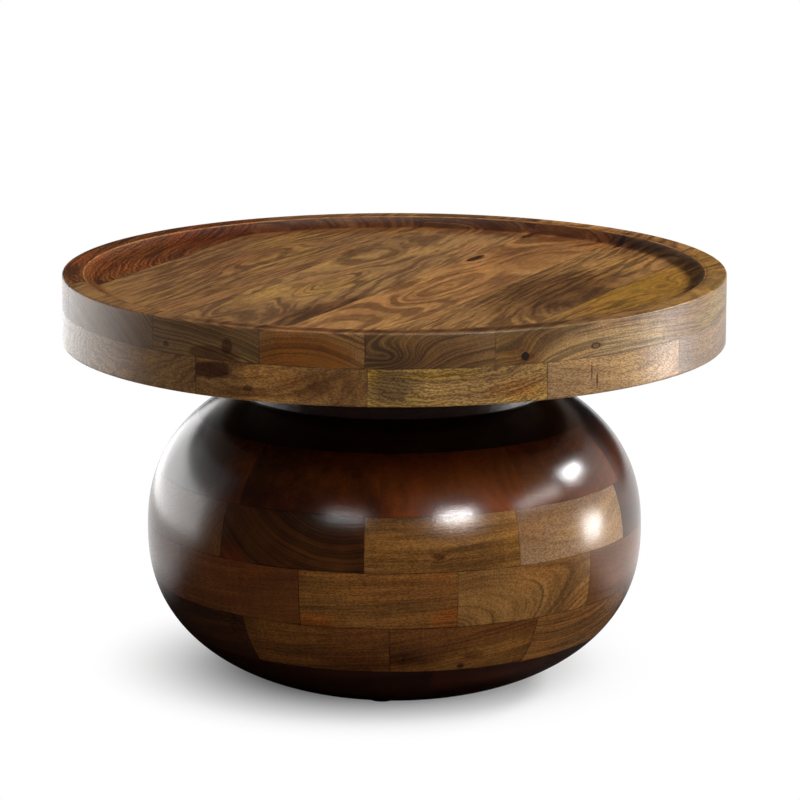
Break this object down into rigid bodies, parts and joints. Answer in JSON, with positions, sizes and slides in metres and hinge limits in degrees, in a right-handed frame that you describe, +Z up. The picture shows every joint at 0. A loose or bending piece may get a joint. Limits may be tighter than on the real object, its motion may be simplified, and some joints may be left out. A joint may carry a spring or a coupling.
{
  "type": "drum table",
  "caption": "Round wooden coffee table shaped like a drum: a thick rimmed tray top of glued planks on a dark neck and a squashed ball base laid up from wedge blocks.",
  "frame": {"origin": "on the floor under the middle of the table", "axes": "+Z up along the table's axis, -Y towards the front, with the planks of the top running 64.5 degrees from +X towards +Y"},
  "size_m": [0.711, 0.711, 0.45],
  "materials": {
    "top_wood": "open-pored hardwood of mixed tones, oiled and lacquered satin",
    "rim_wood": "hardwood blocks of mixed tones, oiled and lacquered satin",
    "base_wood": "stained hardwood blocks of mixed tones, lacquered satin",
    "neck_wood": "dark stained and lacquered satin",
    "dowel_wood": "raw beech",
    "plywood": "sanded plywood",
    "screw_steel": "zinc plated",
    "insert_brass": "plain brass",
    "felt": "pressed felt"
  },
  "bodies": {
    "root": {"top_plank_1": "top_wood", "top_plank_2": "top_wood", "top_plank_3": "top_wood", "top_plank_4": "top_wood", "top_plank_5": "top_wood", "top_plank_6": "top_wood", "plank_tongues": "dowel_wood", "rim_block_01": "rim_wood", "rim_block_02": "rim_wood", "rim_block_03": "rim_wood", "rim_block_04": "rim_wood", "rim_block_05": "rim_wood", "rim_block_06": "rim_wood", "rim_block_07": "rim_wood", "rim_block_08": "rim_wood", "rim_block_09": "rim_wood", "rim_block_10": "rim_wood", "rim_block_11": "rim_wood", "rim_block_12": "rim_wood", "rim_block_dowels": "dowel_wood", "base_course_1": "base_wood", "base_course_2": "base_wood", "base_course_3": "base_wood", "base_course_4": "base_wood", "base_course_5": "base_wood", "base_course_6": "base_wood", "course_dowels": "dowel_wood", "base_cover": "plywood", "cover_screws": "screw_steel", "foot_pads": "felt", "neck_collar": "neck_wood", "neck_screws": "screw_steel", "neck_screw_washers": "screw_steel", "mounting_board": "plywood", "board_screws": "screw_steel", "top_bolts": "screw_steel", "top_bolt_washers": "screw_steel", "threaded_inserts": "insert_brass"}
  },
  "joints": []
}
